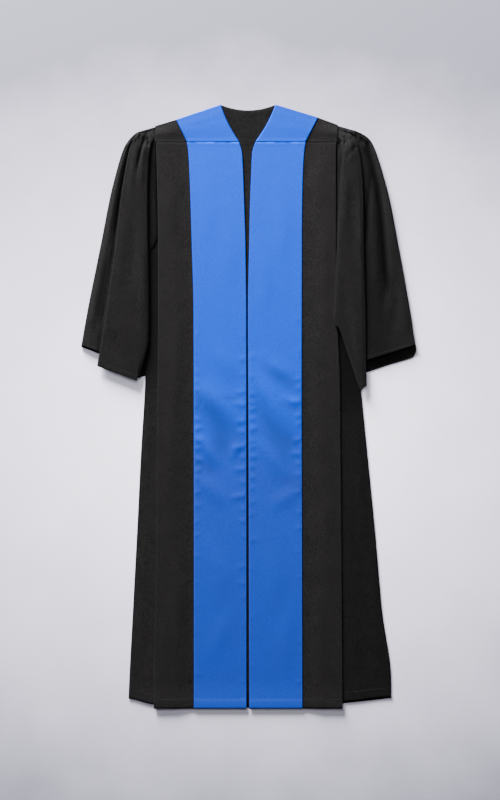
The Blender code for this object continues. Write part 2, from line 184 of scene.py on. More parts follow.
class Amount:
    """A number that varies over a finish, which Python's operators can reckon with."""

    def __init__(self, finish, socket):
        self.finish = finish
        self.socket = socket

    def math(self, operation, *others):
        values = dict(enumerate((self, *others)))
        return self.finish.node("ShaderNodeMath", {"operation": operation}, values)

    def limited(self):
        """Kept between 0 and 1."""
        return self.math("MAXIMUM", 0.0).math("MINIMUM", 1.0)

    def __add__(self, other):
        return self.math("ADD", other)

    def __sub__(self, other):
        return self.math("SUBTRACT", other)

    def __mul__(self, other):
        return self.math("MULTIPLY", other)

    def __rsub__(self, other):
        return self.math("MULTIPLY", -1.0).math("ADD", other)

    __radd__ = __add__
    __rmul__ = __mul__


class Finish:
    """A cloth's material, built up from nodes around one Principled shader."""

    def __init__(self, name):
        self.material = bpy.data.materials.new(name)
        self.material.use_nodes = True
        self.tree = self.material.node_tree
        self.shader = self.tree.nodes["Principled BSDF"]

    def node(self, kind, settings, values, output=0):
        made = self.tree.nodes.new(kind)
        for key, value in settings.items():
            setattr(made, key, value)
        for key, value in values.items():
            if isinstance(value, Amount):
                self.tree.links.new(value.socket, made.inputs[key])
            else:
                made.inputs[key].default_value = value
        return Amount(self, made.outputs[output])

    def feed(self, name, value):
        if isinstance(value, Amount):
            self.tree.links.new(value.socket, self.shader.inputs[name])
        else:
            self.shader.inputs[name].default_value = value

    def blend(self, amount, low, high):
        """A colour between two, by an amount from 0 to 1."""
        settings = {"data_type": "RGBA"}
        values = {0: amount}
        for place, colour in ((6, low), (7, high)):
            values[place] = colour if isinstance(colour, Amount) else (*colour, 1.0)
        return self.node("ShaderNodeMix", settings, values, output=2)

    def part(self, vector, axis):
        """One axis of a vector."""
        return self.node("ShaderNodeSeparateXYZ", {}, {0: vector}, output="XYZ".index(axis))

    def place(self):
        """Where a point of the piece lies, in metres."""
        return self.node("ShaderNodeTexCoord", {}, {}, output=3)

    def noise(self, place, scale, detail):
        """Soft uneven spots, 0 to 1."""
        return self.node("ShaderNodeTexNoise", {}, {"Vector": place, "Scale": scale, "Detail": detail})

    def mark(self, name):
        """An amount that is stored on the piece's points."""
        return self.node("ShaderNodeAttribute", {"attribute_name": name}, {}, output=2)

    def bump(self, height, strength, distance):
        """Fine relief too small for the mesh."""
        values = {"Height": height, "Strength": strength, "Distance": distance}
        self.feed("Normal", self.node("ShaderNodeBump", {}, values))


def gown_cloth(name):
    """Matt black plain weave: fine threads both ways, faint slubs and a soft uneven dye, darkened by the
    shade mark where shade is painted and along dark seam lines.
    """
    cloth = Finish(name)
    run = cloth.node("ShaderNodeUVMap", {"uv_map": "weave"}, {})
    turns = 2 * math.pi / THREAD_SPACING
    threads = (cloth.part(run, "X") * turns).math("SINE") * (cloth.part(run, "Y") * turns).math("SINE")
    place = cloth.place()
    dye = cloth.noise(place, 26.0, 4.0)
    lint = cloth.noise(place, 460.0, 3.0)
    tone = (dye * 0.40 + lint * 3.30 - 1.35 + threads * 0.06).limited()
    colour = cloth.blend(tone, BLACK_DARKEST, BLACK_LIGHTEST)
    # Painted shade: the shade mark darkens the cloth in recesses, folds and shadows, and along dark seam
    # lines.
    cloth.feed("Base Color", cloth.blend(cloth.mark("shade"), colour, BLACK_SHADED))
    cloth.feed("Roughness", lint * 0.15 + 0.76)
    cloth.feed("Sheen Weight", 0.010)
    cloth.feed("Sheen Roughness", 0.5)
    cloth.feed("Specular IOR Level", 0.02)
    cloth.bump(threads * 0.5 + lint * 0.6, 0.35, 0.0003)
    return cloth.material


def thread_finish(name, colour):
    """Sewing thread: a soft twist of fibres a little lighter than its cloth."""
    thread = Finish(name)
    fibres = thread.noise(thread.place(), 3200.0, 2.0)
    darker = tuple(part * 0.6 for part in colour)
    thread.feed("Base Color", thread.blend(fibres, darker, colour))
    thread.feed("Roughness", fibres * 0.2 + 0.55)
    thread.bump(fibres, 0.4, 0.0002)
    return thread.material


def stitch_rows(name, lines, stitch_size, finish):
    """Rows of separate stitches lying on the cloth along lines of points, as one piece."""
    length, pitch, width = stitch_size
    single = bmesh.new()
    bmesh.ops.create_uvsphere(single, u_segments=6, v_segments=5, radius=0.5)
    one_stitch = bpy.data.meshes.new("one_stitch")
    single.to_mesh(one_stitch)
    single.free()
    shape = bmesh.new()
    for line in lines:
        line = np.asarray(line, float)
        run = np.concatenate(([0.0], np.cumsum(np.linalg.norm(np.diff(line, axis=0), axis=1))))
        middles = np.arange(pitch, run[-1] - length / 2, pitch)
        places, ahead = (np.stack([np.interp(at, run, line[:, axis]) for axis in range(3)], axis=1)
                         for at in (middles, middles + length / 2))
        row = bmesh.new()
        for place, way in zip(places, ahead - places):
            stitch = one_stitch.copy()
            stretch = Matrix.Diagonal((width, width, length, 1.0))
            along = Vector(way).to_track_quat("Z", "Y").to_matrix().to_4x4()
            stitch.transform(Matrix.Translation(place) @ along @ stretch)
            row.from_mesh(stitch)
            bpy.data.meshes.remove(stitch)
        row_mesh = bpy.data.meshes.new("stitch_row")
        row.to_mesh(row_mesh)
        row.free()
        shape.from_mesh(row_mesh)
        bpy.data.meshes.remove(row_mesh)
    bpy.data.meshes.remove(one_stitch)
    mesh = bpy.data.meshes.new(name)
    shape.to_mesh(mesh)
    shape.free()
    mesh.shade_smooth()
    mesh.materials.append(finish)
    piece = bpy.data.objects.new(name, mesh)
    bpy.context.scene.collection.objects.link(piece)
    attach(piece, "root")
    return piece


def shoulder_height(x):
    """Upper edge of the back: straight over each shoulder, a shallow dip behind the neck."""
    straight = np.interp(x, *np.transpose(SHOULDER_LINE))
    middle_x, middle_y = NECK_MIDDLE
    half = np.where(x < middle_x, middle_x - NECK_LEFT[0], NECK_RIGHT[0] - middle_x)
    dip = middle_y + (NECK_LEFT[1] - middle_y) * ((x - middle_x) / half) ** 2
    return np.where((x > NECK_LEFT[0]) & (x < NECK_RIGHT[0]), dip, straight)


left_shoulder = SHOULDER_LINE[0]
right_shoulder = SHOULDER_LINE[-1]
across, height = np.meshgrid(
    np.linspace(0, 1, BACK_COLUMNS), np.linspace(left_shoulder[1], BACK_HEM_Y, BACK_ROWS))
level = np.minimum(height, YOKE_SEAM_Y)
back_x = mix(side_edge("left", level), side_edge("right", level), across)
rise = shoulder_height(mix(left_shoulder[0], right_shoulder[0], across)) - left_shoulder[1]
fade = 1 - ease(0, SHOULDER_FADE, left_shoulder[1] - height)
back_y = height + rise * fade - BACK_HEM_DIP * hem_rise(height) * np.sin(math.pi * across)
back_points = np.stack((back_x, back_y, np.full_like(back_x, BACK_Z)), axis=2)

black_cloth = gown_cloth("black_gown_cloth")
black_thread = thread_finish("black_thread", BLACK_THREAD)
hem_fold = BACK_HEM_SHADE * around(height - BACK_HEM_Y - BACK_HEM_FOLD, 0.0012)
# Painted shade inside the neck, where the back shows between the yokes.
inside_neck = NECK_SHADE * ease(0.40, 0.60, back_y)
marks = {"shade": np.maximum(hem_fold, inside_neck)}
back = cloth_piece("back_cloth", back_points, CLOTH, black_cloth, marks)
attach(back, "root")
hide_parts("back")
hem_row = back_points[HEM_STITCH_ROW, 2:-2] - (0, 0, CLOTH / 2 - 0.0002)
stitch_rows("back_hem_stitches", [hem_row], HEM_STITCH, black_thread)


# Fronts: two panels of the black cloth, from the yoke seam to the hem, each with one long knife
# pleat pressed down its outer side. Beyond the pleat the flared side stretch lies on the back.

SEAM_GAP = 0.0004
LAYER_STEP = 0.0017
LOWER_Z = BACK_Z + CLOTH + SEAM_GAP
MIDDLE_Z = LOWER_Z + LAYER_STEP
UPPER_Z = MIDDLE_Z + LAYER_STEP
FRONT_ROWS = 300
UNDER_SATIN_COLUMNS = 21
BESIDE_SATIN_COLUMNS = 33
SIDE_COLUMNS = 25
PLEAT_EDGE_STEPS = 8
PLEAT_TURN_STEPS = 6
UPPER_HEM = slice(22, 54)
SIDE_HEM = slice(74, -2)
HEM_CURL = 0.0021
HEM_CURL_LENGTH = 0.070
LOWEST_HEM_CURL = 0.45
YOKE_SEAM_SHADE = 0.7
PLEAT_SHADOW_WIDTH = 0.0012

# How far from the satin and from the pleat the rise between them starts and ends.
BESIDE_SATIN = 0.003
BESIDE_PLEAT = 0.004

# How far the hem of the side stretch lies above the pleat's hem, beside the pleat and at the edge.
SIDE_HEM_RISE = {"left": (0.009, 0.021), "right": (0.0145, 0.024)}

# x of the front opening, of the satin's outer edge and of the pleat's edge at the gown's heights,
# then the depth of the pleat under that edge.
FRONT_LINES = metres({
    "left": {
        "inner": (-22.2, -16, -13.5, -11, -8.8, -8.5, -8.3, -7, -6.7, -6.6, -6.5, -6.5, -6.5, -6.5),
        "facing": (-134.5, -131.5, -129, -126.5, -124.5, -124, -123.5, -120.5, -120, -119.8, -119.6,
            -119.5, -119.5, -119.5),
        "fold": (-201, -200, -198.5, -197, -196, -196, -196, -196, -197, -198.5, -199.5, -202, -205,
            -205.5),
    },
    "right": {
        "inner": (12.5, 5.8, 3.6, 1, -0.5, -0.8, -1.2, -3.2, -2.6, -2, -1.4, -0.9, -0.4, -0.4),
        "facing": (120.7, 117.5, 115, 113.5, 113, 113, 113, 112.8, 112.6, 112.8, 113.2, 113.5, 113.9,
            113.9),
        "fold": (187, 186, 186, 186, 186, 186, 186, 188, 194.5, 196, 197.5, 198.8, 200, 200.2),
    },
})
PLEAT_DEPTHS = metres((10, 10, 11, 12, 13, 14, 14, 17, 21, 25, 29, 33, 36, 37))

# Soft ridges of the black cloth beside the satin: the places they run through, their half width
# and their height.
FRONT_CREASES = metres({
    "left": (
        (((-160, 545), (-168, 430), (-162, 300)), 16, 1.1),
        (((-150, 250), (-158, 80), (-152, -90)), 14, 0.9),
        (((-176, 20), (-172, -180), (-178, -360)), 13, 1),
        (((-145, -260), (-152, -420), (-148, -600)), 15, 0.9),
        (((-180, -400), (-184, -520), (-180, -650)), 12, 0.8),
    ),
    "right": (
        (((150, 550), (146, 470), (152, 360)), 14, 1.2),
        (((165, 420), (158, 260), (164, 110)), 15, 0.9),
        (((140, 120), (150, -60), (146, -230)), 13, 1),
        (((172, -120), (168, -300), (176, -470)), 14, 0.9),
        (((142, -380), (150, -520), (146, -650)), 14, 0.8),
    ),
})
SIDE_CREASES = metres({
    "left": (
        (((-228, -250), (-232, -420), (-236, -620)), 10, 1),
        (((-216, 60), (-219, -80), (-222, -240)), 8, 0.8),
    ),
    "right": (
        (((232, 20), (240, -140), (246, -330)), 11, 1),
        (((262, -260), (272, -430), (280, -620)), 12, 1.2),
        (((222, -380), (226, -500), (232, -640)), 10, 0.9),
    ),
})


def front_line(side, name, y):
    """x of one long line of a front at height y: inner, facing or fold."""
    return down_gown(FRONT_LINES[side][name], y)


def crease(x, y, line, width, height, from_start=0.0, hold=0.45):
    """Height that one soft crease adds at each place. It fades in from from_start, and out after hold."""
    line = np.asarray(line, float)
    lengths = np.hypot(*np.diff(line, axis=0).T)
    nearest = np.full(np.shape(x), np.inf)
    reached = np.zeros(np.shape(x))
    run = 0.0
    for start, end, length in zip(line, line[1:], lengths):
        way = (end - start) / length
        t = np.clip((x - start[0]) * way[0] + (y - start[1]) * way[1], 0, length)
        distance = np.hypot(x - start[0] - t * way[0], y - start[1] - t * way[1])
        closer = distance < nearest
        nearest = np.where(closer, distance, nearest)
        reached = np.where(closer, run + t, reached)
        run += length
    part = reached / run
    fade = mix(from_start, 1.0, ease(0, 0.35, part)) * (1 - ease(hold, 1, part))
    return height * fade * around(nearest, width)


def creased(x, y, creases, from_start=0.0, hold=0.45, seam_y=-1.0):
    """Height that all the creases of a list add; those that begin below seam_y start from nothing."""
    total = np.zeros(np.shape(x))
    for line, width, height in creases:
        start = from_start if line[0][1] > seam_y else 0.0
        total += crease(x, y, line, width, height, start, hold)
    return total


def upper_height(side, x, y):
    """Height of a front's upper layer: low under the satin, raised over the pleat."""
    low = abs(front_line(side, "facing", y)) + BESIDE_SATIN
    high = abs(front_line(side, "fold", y)) - down_gown(PLEAT_DEPTHS, y) - BESIDE_PLEAT
    return LOWER_Z + (UPPER_Z - LOWER_Z) * ease(low, high, abs(x))


def hem_curl(y):
    """How far the hem of the upper layer stands up from the cloth below it."""
    return HEM_CURL * (1 - ease(HEM_Y, HEM_Y + HEM_CURL_LENGTH, y)) ** 1.5


def turn(z_from, z_to, depth, steps):
    """Half an ellipse round a fold: how far behind its edge each point lies, and its height."""
    angles = math.pi * np.arange(steps + 1) / steps
    height = (z_from + z_to) / 2 + (z_from - z_to) / 2 * np.cos(angles)
    return depth * (1 - np.sin(angles)), height


def row_columns(start, end, count):
    """Evenly spaced columns from start to end in every row."""
    return mix(start[:, None], end[:, None], np.linspace(0, 1, count + 1))


def front_surface(side):
    """Rows of points of one front: upper layer, pleat edge, layer below, turn, side stretch."""
    y = np.linspace(YOKE_SEAM_Y, HEM_Y, FRONT_ROWS)
    inner = front_line(side, "inner", y)
    facing = front_line(side, "facing", y)
    fold = front_line(side, "fold", y)
    tuck = down_gown(PLEAT_DEPTHS, y)
    edge = side_edge(side, y)
    out = math.copysign(1.0, fold[0])
    bend = LAYER_STEP / 2
    flat = row_columns(inner, facing, UNDER_SATIN_COLUMNS)[:, :-1]
    beside = row_columns(facing, fold - out * bend, BESIDE_SATIN_COLUMNS)[:, :-1]
    upper_x = np.concatenate((flat, beside), axis=1)
    rows_y = np.broadcast_to(y[:, None], upper_x.shape)
    upper_z = upper_height(side, upper_x, rows_y)
    outside = ease(0.004, 0.016, abs(upper_x) - abs(facing)[:, None])
    inside = ease(0.0, 0.012, abs(fold)[:, None] - abs(upper_x))
    upper_z = upper_z + outside * inside * creased(upper_x, rows_y, FRONT_CREASES[side])
    behind, over_z = turn(UPPER_Z, MIDDLE_Z, bend, PLEAT_EDGE_STEPS)
    over_x = fold[:, None] - out * behind
    behind, under_z = turn(MIDDLE_Z, LOWER_Z, bend, PLEAT_TURN_STEPS)
    under_x = (fold - out * tuck)[:, None] + out * behind
    side_x = row_columns(fold - out * (tuck - bend), edge, SIDE_COLUMNS)[:, 1:]
    side_y = np.broadcast_to(y[:, None], side_x.shape)
    open_side = ease(0.004, 0.012, abs(side_x) - abs(fold)[:, None])
    open_side = open_side * ease(0.0, 0.008, abs(edge)[:, None] - abs(side_x))
    side_z = LOWER_Z + open_side * creased(side_x, side_y, SIDE_CREASES[side])
    below_x = np.concatenate((over_x, under_x, side_x), axis=1)
    turns_z = np.broadcast_to(np.append(over_z, under_z), (FRONT_ROWS, len(over_z) + len(under_z)))
    below_z = np.concatenate((turns_z, side_z), axis=1)
    near, far = SIDE_HEM_RISE[side]
    deep = (UPPER_Z - np.minimum(below_z, UPPER_Z)) / (UPPER_Z - LOWER_Z)
    outward = ease(abs(fold)[:, None], abs(edge)[:, None] + 0.001, abs(below_x))
    below_y = y[:, None] + hem_rise(y)[:, None] * np.minimum(deep, 1) * mix(near, far, outward)
    x = np.concatenate((upper_x, below_x), axis=1)
    all_y = np.concatenate((rows_y, below_y), axis=1)
    z = np.concatenate((upper_z, below_z), axis=1)
    upper_share = np.concatenate((np.ones_like(upper_z), 1 - deep), axis=1)
    z = z + hem_curl(all_y) * np.maximum(upper_share, LOWEST_HEM_CURL)
    return np.stack((x, all_y, z), axis=2)


# Painted shade: how much darker each side stretch is painted than the front beside it, where the raised
# pleat shades it:
# the height in metres and the amount there, from the hem to the underarm.
SIDE_SHADES = {
    "left": ((-0.65, 0.00), (0.00, 0.10), (0.07, 0.42), (0.20, 0.64), (0.33, 0.70)),
    "right": ((-0.65, 0.42), (-0.05, 0.50), (0.03, 0.72), (0.16, 0.85), (0.33, 0.80)),
}
for side in ("left", "right"):
    points = front_surface(side)
    x, y, z = np.moveaxis(points, 2, 0)
    seam_shade = YOKE_SEAM_SHADE * around(YOKE_SEAM_Y - y, 0.0006)
    side_shade = curve(*np.transpose(SIDE_SHADES[side]), y)
    # Painted shade on the side stretch beyond and below the pleat's edge; the yoke seam's dark line joins
    # it.
    beyond = ease(0.0, PLEAT_SHADOW_WIDTH, abs(x) - abs(front_line(side, "fold", y)))
    below = ease(0.0, PLEAT_SHADOW_WIDTH, UPPER_Z - PLEAT_SHADOW_WIDTH / 2 - z)
    marks = {"shade": np.maximum(seam_shade, side_shade * beyond * below)}
    front = cloth_piece("front_cloth_" + side, points, CLOTH, black_cloth, marks)
    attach(front, "root")
    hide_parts("front_" + side)
    hem_row = points[HEM_STITCH_ROW] + (0, 0, CLOTH / 2)
    name = "front_hem_stitches_" + side
    stitch_rows(name, [hem_row[UPPER_HEM], hem_row[SIDE_HEM]], HEM_STITCH, black_thread)


# Yokes: a shaped piece of the black cloth over each shoulder, sewn to the gathered edge of the
# front below it in one straight seam with a row of topstitching.

YOKE_CORNERS = {"left": SHOULDER_LINE[2::-1], "right": SHOULDER_LINE[3:]}
YOKE_ROWS = 44
NECK_EDGE_BEND = 0.004
SEAM_ROLL = 0.0002
SEAM_ROLL_WIDTH = 0.0028
FROM_SEAM_TO_ROLL = 0.004
SHOULDER_ROLL = 0.0010
YOKE_EDGE_SHADE = 0.6
TOPSTITCH = (0.0022, 0.0034, 0.0004)
TOPSTITCH_ROW = -3


def yoke_surface(side, across, lift=0.0):
    """Rows of points of a yoke: across 0 to 1 is the satin's width, 1 to 2 the cloth beyond it."""
    across, down = np.meshgrid(across, np.linspace(0, 1, YOKE_ROWS))
    seam_x = [FRONT_LINES[side]["inner"][0], FRONT_LINES[side]["facing"][0], SIDE_EDGES[side][0]]
    top_x, top_y, low_x = (np.interp(across, (0, 1, 2), places)
                           for places in (*np.transpose(YOKE_CORNERS[side]), seam_x))
    x = mix(top_x, low_x, down)
    y = mix(top_y, YOKE_SEAM_Y + SEAM_GAP, down)
    x = x + np.copysign(NECK_EDGE_BEND * np.sin(math.pi * down) * np.maximum(0.0, 1 - across), x)
    z = mix(LOWER_Z, upper_height(side, x, YOKE_SEAM_Y), ease(0, 0.6, down))
    roll = SEAM_ROLL * around(y - YOKE_SEAM_Y - FROM_SEAM_TO_ROLL, SEAM_ROLL_WIDTH)
    roll = roll + SHOULDER_ROLL * ease(0.0, 0.018, top_y - y) * (1 - ease(0.45, 0.95, down))
    return np.stack((x, y, z + roll + lift), axis=2)


for side in ("left", "right"):
    points = yoke_surface(side, np.linspace(0, 2, 61))
    marks = {"shade": YOKE_EDGE_SHADE * around(points[:, :, 1] - YOKE_SEAM_Y, 0.0008)}
    yoke = cloth_piece("yoke_cloth_" + side, points, CLOTH, black_cloth, marks)
    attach(yoke, "root")
    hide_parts("yoke_" + side)
    beside_satin = points[TOPSTITCH_ROW, 32:-1] + (0, 0, CLOTH / 2)
    stitch_rows("yoke_stitches_" + side, [beside_satin], TOPSTITCH, black_thread)


# Facings: a broad band of bright blue satin down each front and over its yoke, edge stitched to
# the black cloth. The satin is a little longer than its seams, so it puckers along both edges.

SATIN = 0.0010
FACING_LIFT = CLOTH / 2 + SEAM_GAP + SATIN / 2
FACING_ROWS = 420
FACING_COLUMNS = 49
FACING_HEM = 0.019
HEM_FOLD_RISE = 0.0004
YOKE_LINE_WIDTH = 0.0006
SATIN_EDGE = (0.0008, 0.0030)
SHOULDER_SHADE_LENGTH = 0.035
SATIN_STITCH = (0.0022, 0.0036, 0.0003)

# The satin's darkest and lightest threads where it is painted bright near the top and, further down,
# painted darker as a painted falloff of the light;
# then the colours it turns to: painted shade where it leans away, painted highlight at its folded edges and
# hem, and dark in its seams.
SATIN_PAINTED_LIT = ((0.0000, 0.0312, 0.300), (0.0000, 0.0450, 0.430))
SATIN_PAINTED_DARKER = ((0.0090, 0.0255, 0.186), (0.0135, 0.0370, 0.270))
SATIN_LEAN_SHADE = (0.0150, 0.0225, 0.065)
SATIN_PAINTED_HIGHLIGHT = (0.008, 0.042, 0.345)
SATIN_SHADED = (0.0002, 0.0003, 0.001)
BLUE_THREAD = (0.022, 0.085, 0.330)

# Where each short pucker starts on a seam, as its height, its length inward and its rise.
PUCKERS = metres({
    ("left", "inner"): (
        (150, 12, 0.4), (103, 16, 0.6), (69, 13, 0.5), (33, 20, 0.8), (2, 27, 1.1), (-31, 21, 1),
        (-56, 19, 0.9), (-85, 28, 1.2), (-111, 14, 0.6), (-134, 24, 0.9), (-163, 13, 0.6), (-191, 30, 1.1),
        (-222, 12, 0.5), (-246, 15, 0.6), (-281, 10, 0.4), (-344, 18, 0.5), (-382, 16, 0.5),
        (-412, 12, 0.4), (-470, 10, 0.3), (-590, 12, 0.4),
    ),
    ("left", "facing"): (
        (155, 11, 0.4), (119, 8, 0.4), (100, 9, 0.5), (75, 12, 0.6), (53, 10, 0.6), (36, 12, 0.6),
        (1, 9, 0.6), (-27, 14, 0.8), (-49, 17, 1), (-71, 19, 1), (-91, 13, 0.8), (-113, 18, 0.9),
        (-139, 16, 0.8), (-155, 11, 0.6), (-185, 13, 0.7), (-212, 14, 0.6), (-249, 11, 0.5),
        (-276, 12, 0.5), (-322, 13, 0.5), (-379, 9, 0.3), (-430, 11, 0.3), (-575, 14, 0.4),
    ),
    ("right", "inner"): (
        (106, 17, 0.6), (65, 14, 0.6), (26, 13, 0.7), (10, 16, 0.8), (-7, 17, 0.9), (-26, 15, 0.8),
        (-48, 17, 0.8), (-73, 13, 0.7), (-89, 15, 0.7), (-107, 18, 0.8), (-130, 12, 0.6), (-151, 14, 0.6),
        (-177, 12, 0.5), (-205, 14, 0.5), (-233, 10, 0.4), (-286, 16, 0.5), (-350, 11, 0.3),
        (-452, 13, 0.4), (-560, 10, 0.3),
    ),
    ("right", "facing"): (
        (186, 14, 0.5), (120, 10, 0.4), (59, 15, 0.7), (40, 13, 0.7), (10, 17, 0.9), (-19, 14, 0.8),
        (-38, 12, 0.7), (-70, 18, 0.9), (-104, 21, 1), (-122, 12, 0.6), (-147, 14, 0.6), (-183, 16, 0.6),
        (-228, 11, 0.5), (-262, 13, 0.5), (-312, 12, 0.4), (-368, 14, 0.4), (-505, 10, 0.3),
        (-592, 15, 0.5),
    ),
})

# Broad slanting waves of the satin: the places they run through, their half width and height.
SATIN_WAVES = metres({
    "left": (
        (((-124, 34), (-90, 26), (-62, 0), (-34, -30), (-10, -58)), 24, 2.4),
        (((-120, -56), (-100, -80), (-80, -112), (-60, -140)), 13, 2),
        (((-22, -70), (-30, -96), (-46, -122)), 10, 1.2),
        (((-80, 130), (-50, 90), (-26, 50)), 20, 1),
        (((-118, -150), (-84, -176), (-40, -226)), 17, 1.4),
        (((-60, 420), (-40, 330), (-48, 230)), 20, 0.9),
        (((-100, 520), (-85, 430), (-92, 330)), 18, 0.8),
        (((-90, -300), (-60, -360), (-70, -450)), 22, 1),
        (((-40, -440), (-70, -510), (-95, -570)), 20, 0.9),
    ),
    "right": (
        (((0, 82), (36, 32), (68, -12), (96, -50), (116, -78)), 22, 2.2),
        (((34, 106), (66, 78), (108, 60)), 16, 1.2),
        (((78, 18), (98, 8), (114, 4)), 8, 1.2),
        (((6, -56), (34, -94), (64, -136), (90, -170)), 18, 1.6),
        (((112, -170), (80, -196), (30, -226)), 16, 1),
        (((60, 470), (75, 380), (62, 270)), 20, 0.9),
        (((24, 350), (35, 260), (22, 170)), 16, 0.8),
        (((40, -290), (60, -370), (50, -460)), 21, 1),
        (((90, -420), (78, -500), (86, -590)), 18, 0.9),
    ),
})

# Painted shade where the satin's floats lean away from the light: the places and half width in metres,
# and the amount.
SATIN_SHADE_LINES = {
    "left": (
        (((-0.128, 0.014), (-0.101, 0.007), (-0.078, -0.013), (-0.062, -0.046), (-0.058, -0.084),
          (-0.046, -0.106), (-0.036, -0.12)), 0.026, 1.0),
        (((-0.054, 0.02), (-0.038, 0.017), (-0.018, 0.016)), 0.006, 0.7),
        (((-0.126, -0.118), (-0.098, -0.128), (-0.072, -0.146)), 0.012, 0.6),
        (((-0.03, -0.052), (-0.026, -0.07), (-0.03, -0.09)), 0.009, 0.5),
    ),
    "right": (
        (((0.036, 0.084), (0.06, 0.066), (0.09, 0.046), (0.118, 0.04)), 0.013, 0.7),
        (((0.07, 0.004), (0.092, -0.004), (0.118, -0.008)), 0.008, 0.5),
        (((0.01, 0.014), (0.02, 0.0), (0.04, -0.033), (0.062, -0.055), (0.09, -0.078), (0.12, -0.1)),
         0.017, 0.9),
        (((0.014, -0.052), (0.04, -0.066), (0.07, -0.096), (0.092, -0.14)), 0.015, 0.6),
        (((0.06, -0.158), (0.09, -0.164), (0.124, -0.172)), 0.014, 0.5),
    ),
}


def satin_finish(name):
    """Blue satin: long fine floats down the cloth, a soft sheen, and painted shade that darkens it towards
    the hem.
    """
    satin = Finish(name)
    run = satin.node("ShaderNodeUVMap", {"uv_map": "weave"}, {})
    floats = satin.node("ShaderNodeMapping", {}, {"Vector": run, "Scale": (2600.0, 330.0, 1.0)})
    threads = satin.noise(floats, 1.0, 2.0)
    place = satin.place()
    # Painted light falloff: the satin is painted bright near the top and darker further down.
    down = {"Value": satin.part(place, "Y"), "From Min": 0.02, "From Max": -0.17, "To Max": 0.85}
    depth = satin.node("ShaderNodeMapRange", {"interpolation_type": "SMOOTHSTEP"}, down)
    cloud = satin.noise(place, 14.0, 3.0)
    depth = (depth + (cloud - 0.5) * 0.35 - 0.05).limited()
    slubs = satin.noise(place, 430.0, 3.0)
    weave = (threads * 0.4 + slubs * 2.1 - 0.75).limited()
    colour = satin.blend(depth, satin.blend(weave, *SATIN_PAINTED_LIT), satin.blend(weave, *SATIN_PAINTED_DARKER))
    # Painted shade where the lean mark says the satin leans away.
    colour = satin.blend(satin.mark("lean") * 0.45, colour, SATIN_LEAN_SHADE)
    # Painted highlight on the folded edges and the hem band, from the fold mark.
    colour = satin.blend(satin.mark("fold") * 0.25, colour, SATIN_PAINTED_HIGHLIGHT)
    satin.feed("Base Color", satin.blend(satin.mark("shade"), colour, SATIN_SHADED))
    satin.feed("Roughness", threads * 0.12 + 0.43)
    satin.feed("Metallic", 0.3)
    satin.feed("Specular IOR Level", 0.0)
    satin.bump(threads, 0.22, 0.0002)
    return satin.material


def yoke_seam_shade(x, y):
    """How dark the satin is along the yoke seam, which is pulled tight in some places only."""
    tight = np.clip(0.55 + 0.35 * np.sin(97.0 * x + 0.8) + 0.25 * np.sin(241.0 * x), 0.1, 1.0)
    return tight * around(y - YOKE_SEAM_Y, YOKE_LINE_WIDTH)


def near_edge(distance):
    """1 on the satin's folded edge, 0 a little further in."""
    return 1 - ease(*SATIN_EDGE, distance)


def pucker_height(side, x, y, inner, outer):
    """Height that the short edge puckers and the broad waves add to a facing."""
    total = creased(x, y, SATIN_WAVES[side], from_start=0.4)
    for edge, start, inward in (("inner", inner, outer), ("facing", outer, inner)):
        for number, (at, length, height) in enumerate(PUCKERS[(side, edge)]):
            x_from = np.interp(at, y[::-1, 0], start[::-1])
            way = math.copysign(1.0, np.interp(at, y[::-1, 0], inward[::-1]) - x_from)
            tilt = (0.25, -0.12, 0.10, -0.22)[number % 4]
            line = ((x_from, at), (x_from + way * length * 0.5, at + tilt * length * 0.4),
                    (x_from + way * length * 1.4, at + tilt * length))
            total += crease(x, y, line, 0.0042 + 0.10 * length, height * 0.8, from_start=1.0)
    return total


